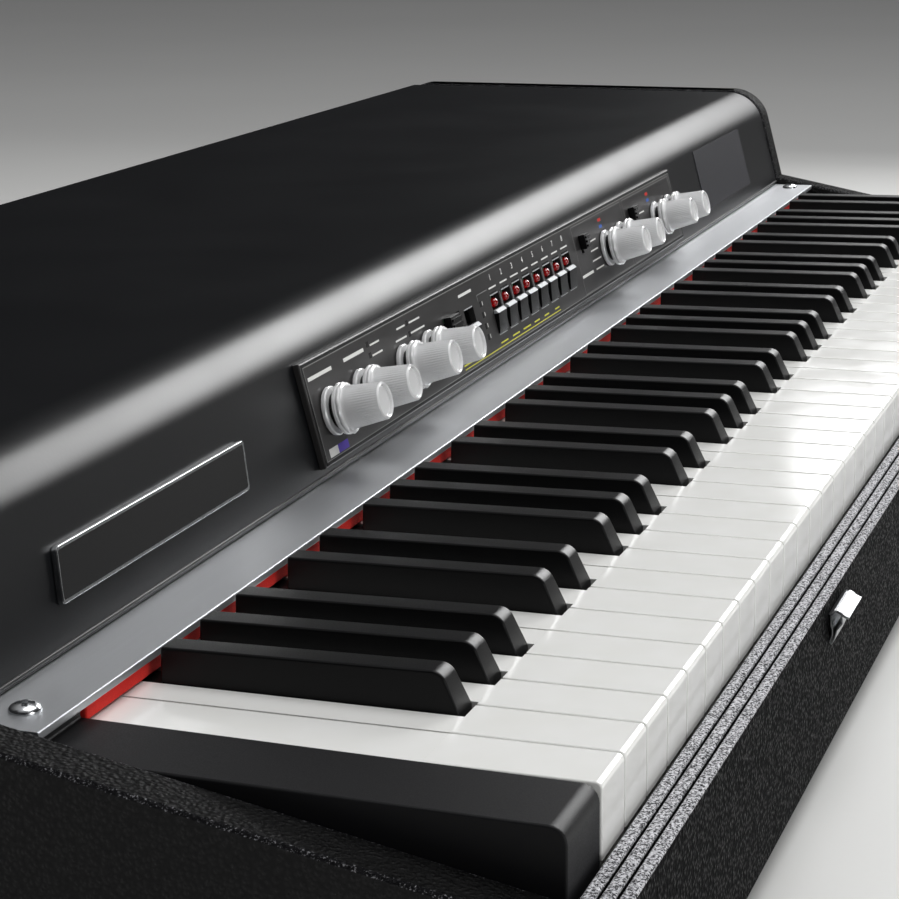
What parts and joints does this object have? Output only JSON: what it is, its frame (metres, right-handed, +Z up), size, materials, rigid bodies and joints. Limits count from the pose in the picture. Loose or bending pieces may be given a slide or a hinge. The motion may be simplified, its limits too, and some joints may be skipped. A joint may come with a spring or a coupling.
{
  "type": "electric piano",
  "caption": "Stage piano in a vinyl covered case: weighted keyboard with felt strip and metal rail, bent metal top cover, control panel with knobs, lit buttons and slide switches.",
  "frame": {"origin": "centre of the footprint, on the floor under the feet", "axes": "+X from the bass end to the treble end, +Y from the player to the back, +Z up"},
  "size_m": [1.1104, 0.4524, 0.161],
  "materials": {
    "white_key_plastic": "moulded, polished white key plastic",
    "black_key_plastic": "moulded satin black key plastic",
    "clear_acrylic": "clear acrylic, polished",
    "satin_black_plastic": "moulded satin black plastic",
    "red_felt": "pressed wool felt",
    "satin_aluminium": "satin anodised extrusion",
    "black_vinyl": "grained vinyl cloth glued over wood",
    "black_cover_paint": "satin black paint over bent sheet metal",
    "smoked_acrylic": "smoked acrylic plate with polished bevels",
    "circuit_board": "green solder mask",
    "chrome": "bright chrome plate",
    "zinc_steel": "zinc plated sheet steel",
    "black_rubber": "moulded rubber"
  },
  "bodies": {
    "piano_case": {"case_back": "black_vinyl", "case_bottom": "black_vinyl", "case_front": "black_vinyl", "case_side_left": "black_vinyl", "case_side_right": "black_vinyl", "cheek_left": "satin_black_plastic", "cheek_right": "satin_black_plastic", "connector_plate": "zinc_steel", "control_panel": "smoked_acrylic", "felt_strip": "red_felt", "foot_front_left": "black_rubber", "foot_front_right": "black_rubber", "foot_rear_left": "black_rubber", "foot_rear_right": "black_rubber", "key_frame": "zinc_steel", "lid_catch_left": "chrome", "lid_catch_right": "chrome", "main_board": "circuit_board", "name_plate": "satin_black_plastic", "panel_board": "circuit_board", "power_supply": "zinc_steel", "rail": "satin_aluminium", "top_cover": "black_cover_paint"},
    "key_c_4_body": {"key_c_4": "white_key_plastic"},
    "key_c_sharp_4_body": {"key_c_sharp_4": "black_key_plastic"},
    "key_d_4_body": {"key_d_4": "white_key_plastic"},
    "key_d_sharp_4_body": {"key_d_sharp_4": "black_key_plastic"},
    "key_e_4_body": {"key_e_4": "white_key_plastic"},
    "key_f_4_body": {"key_f_4": "white_key_plastic"},
    "key_f_sharp_4_body": {"key_f_sharp_4": "black_key_plastic"},
    "key_g_4_body": {"key_g_4": "white_key_plastic"},
    "key_g_sharp_4_body": {"key_g_sharp_4": "black_key_plastic"},
    "key_a_4_body": {"key_a_4": "white_key_plastic"},
    "key_a_sharp_4_body": {"key_a_sharp_4": "black_key_plastic"},
    "key_b_4_body": {"key_b_4": "white_key_plastic"},
    "key_bank_low_body": {"key_bank_low": "white_key_plastic"},
    "key_bank_tenor_body": {"key_bank_tenor": "white_key_plastic"},
    "key_bank_alto_body": {"key_bank_alto": "white_key_plastic"},
    "key_bank_high_body": {"key_bank_high": "white_key_plastic"},
    "knob_1_body": {"knob_1": "clear_acrylic"},
    "knob_2_body": {"knob_2": "clear_acrylic"},
    "knob_3_body": {"knob_3": "clear_acrylic"},
    "knob_4_body": {"knob_4": "clear_acrylic"},
    "knob_5_body": {"knob_5": "clear_acrylic"},
    "knob_6_body": {"knob_6": "clear_acrylic"},
    "knob_7_body": {"knob_7": "clear_acrylic"},
    "knob_8_body": {"knob_8": "clear_acrylic"},
    "button_1_body": {"button_1": "satin_black_plastic"},
    "button_2_body": {"button_2": "satin_black_plastic"},
    "button_3_body": {"button_3": "satin_black_plastic"},
    "button_4_body": {"button_4": "satin_black_plastic"},
    "button_5_body": {"button_5": "satin_black_plastic"},
    "button_6_body": {"button_6": "satin_black_plastic"},
    "button_7_body": {"button_7": "satin_black_plastic"},
    "button_8_body": {"button_8": "satin_black_plastic"},
    "bank_button_body": {"bank_button": "satin_black_plastic"},
    "bank_slide_body": {"bank_slide": "satin_black_plastic"},
    "effect_slide_1_body": {"effect_slide_1": "satin_black_plastic"},
    "effect_slide_2_body": {"effect_slide_2": "satin_black_plastic"},
    "power_switch_body": {"power_switch": "satin_black_plastic"}
  },
  "joints": [
    {"name": "key_c_4_press", "type": "hinge", "parent": "piano_case", "child": "key_c_4_body", "pos_m": [-0.04705, 0.01125, 0.081], "axis": [1, 0, 0], "range_deg": [0, 2.66], "stiffness_Nm_per_rad": 1.5, "springref_deg": -6.02},
    {"name": "key_c_sharp_4_press", "type": "hinge", "parent": "piano_case", "child": "key_c_sharp_4_body", "pos_m": [-0.0372, 0.01125, 0.081], "axis": [1, 0, 0], "range_deg": [0, 2.66], "stiffness_Nm_per_rad": 1.5, "springref_deg": -6.02},
    {"name": "key_d_4_press", "type": "hinge", "parent": "piano_case", "child": "key_d_4_body", "pos_m": [-0.02355, 0.01125, 0.081], "axis": [1, 0, 0], "range_deg": [0, 2.66], "stiffness_Nm_per_rad": 1.5, "springref_deg": -6.02},
    {"name": "key_d_sharp_4_press", "type": "hinge", "parent": "piano_case", "child": "key_d_sharp_4_body", "pos_m": [-0.0094, 0.01125, 0.081], "axis": [1, 0, 0], "range_deg": [0, 2.66], "stiffness_Nm_per_rad": 1.5, "springref_deg": -6.02},
    {"name": "key_e_4_press", "type": "hinge", "parent": "piano_case", "child": "key_e_4_body", "pos_m": [0, 0.01125, 0.081], "axis": [1, 0, 0], "range_deg": [0, 2.66], "stiffness_Nm_per_rad": 1.5, "springref_deg": -6.02},
    {"name": "key_f_4_press", "type": "hinge", "parent": "piano_case", "child": "key_f_4_body", "pos_m": [0.02355, 0.01125, 0.081], "axis": [1, 0, 0], "range_deg": [0, 2.66], "stiffness_Nm_per_rad": 1.5, "springref_deg": -6.02},
    {"name": "key_f_sharp_4_press", "type": "hinge", "parent": "piano_case", "child": "key_f_sharp_4_body", "pos_m": [0.0314, 0.01125, 0.081], "axis": [1, 0, 0], "range_deg": [0, 2.66], "stiffness_Nm_per_rad": 1.5, "springref_deg": -6.02},
    {"name": "key_g_4_press", "type": "hinge", "parent": "piano_case", "child": "key_g_4_body", "pos_m": [0.04705, 0.01125, 0.081], "axis": [1, 0, 0], "range_deg": [0, 2.66], "stiffness_Nm_per_rad": 1.5, "springref_deg": -6.02},
    {"name": "key_g_sharp_4_press", "type": "hinge", "parent": "piano_case", "child": "key_g_sharp_4_body", "pos_m": [0.05875, 0.01125, 0.081], "axis": [1, 0, 0], "range_deg": [0, 2.66], "stiffness_Nm_per_rad": 1.5, "springref_deg": -6.02},
    {"name": "key_a_4_press", "type": "hinge", "parent": "piano_case", "child": "key_a_4_body", "pos_m": [0.07055, 0.01125, 0.081], "axis": [1, 0, 0], "range_deg": [0, 2.66], "stiffness_Nm_per_rad": 1.5, "springref_deg": -6.02},
    {"name": "key_a_sharp_4_press", "type": "hinge", "parent": "piano_case", "child": "key_a_sharp_4_body", "pos_m": [0.0853, 0.01125, 0.081], "axis": [1, 0, 0], "range_deg": [0, 2.66], "stiffness_Nm_per_rad": 1.5, "springref_deg": -6.02},
    {"name": "key_b_4_press", "type": "hinge", "parent": "piano_case", "child": "key_b_4_body", "pos_m": [0.09405, 0.01125, 0.081], "axis": [1, 0, 0], "range_deg": [0, 2.66], "stiffness_Nm_per_rad": 1.5, "springref_deg": -6.02},
    {"name": "key_bank_low_press", "type": "hinge", "parent": "piano_case", "child": "key_bank_low_body", "pos_m": [-0.3643, 0.01125, 0.081], "axis": [1, 0, 0], "range_deg": [0, 2.66], "stiffness_Nm_per_rad": 30, "springref_deg": -6.02},
    {"name": "key_bank_tenor_press", "type": "hinge", "parent": "piano_case", "child": "key_bank_tenor_body", "pos_m": [-0.14105, 0.01125, 0.081], "axis": [1, 0, 0], "range_deg": [0, 2.66], "stiffness_Nm_per_rad": 18, "springref_deg": -6.02},
    {"name": "key_bank_alto_press", "type": "hinge", "parent": "piano_case", "child": "key_bank_alto_body", "pos_m": [0.18805, 0.01125, 0.081], "axis": [1, 0, 0], "range_deg": [0, 2.66], "stiffness_Nm_per_rad": 18, "springref_deg": -6.02},
    {"name": "key_bank_high_press", "type": "hinge", "parent": "piano_case", "child": "key_bank_high_body", "pos_m": [0.3878, 0.01125, 0.081], "axis": [1, 0, 0], "range_deg": [0, 2.66], "stiffness_Nm_per_rad": 25.5, "springref_deg": -6.02},
    {"name": "knob_1_turn", "type": "hinge", "parent": "piano_case", "child": "knob_1_body", "pos_m": [-0.25875, -0.03079, 0.12318], "axis": [0, -0.9671, 0.2544], "range_deg": [-150, 150]},
    {"name": "knob_2_turn", "type": "hinge", "parent": "piano_case", "child": "knob_2_body", "pos_m": [-0.22673, -0.03079, 0.12318], "axis": [0, -0.9671, 0.2544], "range_deg": [-150, 150]},
    {"name": "knob_3_turn", "type": "hinge", "parent": "piano_case", "child": "knob_3_body", "pos_m": [-0.17876, -0.03079, 0.12318], "axis": [0, -0.9671, 0.2544], "range_deg": [-150, 150]},
    {"name": "knob_4_turn", "type": "hinge", "parent": "piano_case", "child": "knob_4_body", "pos_m": [-0.14876, -0.03079, 0.12318], "axis": [0, -0.9671, 0.2544], "range_deg": [-150, 150]},
    {"name": "knob_5_turn", "type": "hinge", "parent": "piano_case", "child": "knob_5_body", "pos_m": [0.12116, -0.03079, 0.12318], "axis": [0, -0.9671, 0.2544], "range_deg": [-150, 150]},
    {"name": "knob_6_turn", "type": "hinge", "parent": "piano_case", "child": "knob_6_body", "pos_m": [0.14985, -0.03079, 0.12318], "axis": [0, -0.9671, 0.2544], "range_deg": [-150, 150]},
    {"name": "knob_7_turn", "type": "hinge", "parent": "piano_case", "child": "knob_7_body", "pos_m": [0.22274, -0.03079, 0.12318], "axis": [0, -0.9671, 0.2544], "range_deg": [-150, 150]},
    {"name": "knob_8_turn", "type": "hinge", "parent": "piano_case", "child": "knob_8_body", "pos_m": [0.25148, -0.03079, 0.12318], "axis": [0, -0.9671, 0.2544], "range_deg": [-150, 150]},
    {"name": "button_1_press", "type": "slide", "parent": "piano_case", "child": "button_1_body", "axis": [0, 0.9671, -0.2544], "range_m": [0, 0.0015], "stiffness_N_per_m": 600, "springref_m": -0.0015},
    {"name": "button_2_press", "type": "slide", "parent": "piano_case", "child": "button_2_body", "axis": [0, 0.9671, -0.2544], "range_m": [0, 0.0015], "stiffness_N_per_m": 600, "springref_m": -0.0015},
    {"name": "button_3_press", "type": "slide", "parent": "piano_case", "child": "button_3_body", "axis": [0, 0.9671, -0.2544], "range_m": [0, 0.0015], "stiffness_N_per_m": 600, "springref_m": -0.0015},
    {"name": "button_4_press", "type": "slide", "parent": "piano_case", "child": "button_4_body", "axis": [0, 0.9671, -0.2544], "range_m": [0, 0.0015], "stiffness_N_per_m": 600, "springref_m": -0.0015},
    {"name": "button_5_press", "type": "slide", "parent": "piano_case", "child": "button_5_body", "axis": [0, 0.9671, -0.2544], "range_m": [0, 0.0015], "stiffness_N_per_m": 600, "springref_m": -0.0015},
    {"name": "button_6_press", "type": "slide", "parent": "piano_case", "child": "button_6_body", "axis": [0, 0.9671, -0.2544], "range_m": [0, 0.0015], "stiffness_N_per_m": 600, "springref_m": -0.0015},
    {"name": "button_7_press", "type": "slide", "parent": "piano_case", "child": "button_7_body", "axis": [0, 0.9671, -0.2544], "range_m": [0, 0.0015], "stiffness_N_per_m": 600, "springref_m": -0.0015},
    {"name": "button_8_press", "type": "slide", "parent": "piano_case", "child": "button_8_body", "axis": [0, 0.9671, -0.2544], "range_m": [0, 0.0015], "stiffness_N_per_m": 600, "springref_m": -0.0015},
    {"name": "bank_button_press", "type": "slide", "parent": "piano_case", "child": "bank_button_body", "axis": [0, 0.9671, -0.2544], "range_m": [0, 0.0015], "stiffness_N_per_m": 600, "springref_m": -0.0015},
    {"name": "bank_slide_move", "type": "slide", "parent": "piano_case", "child": "bank_slide_body", "axis": [1, 0, 0], "range_m": [0, 0.008]},
    {"name": "effect_slide_1_move", "type": "slide", "parent": "piano_case", "child": "effect_slide_1_body", "axis": [0, -0.2544, -0.9671], "range_m": [0, 0.004]},
    {"name": "effect_slide_2_move", "type": "slide", "parent": "piano_case", "child": "effect_slide_2_body", "axis": [0, -0.2544, -0.9671], "range_m": [0, 0.004]},
    {"name": "power_switch_rock", "type": "hinge", "parent": "piano_case", "child": "power_switch_body", "pos_m": [0.37745, 0.21195, 0.063], "axis": [1, 0, 0], "range_deg": [0, 14]}
  ]
}
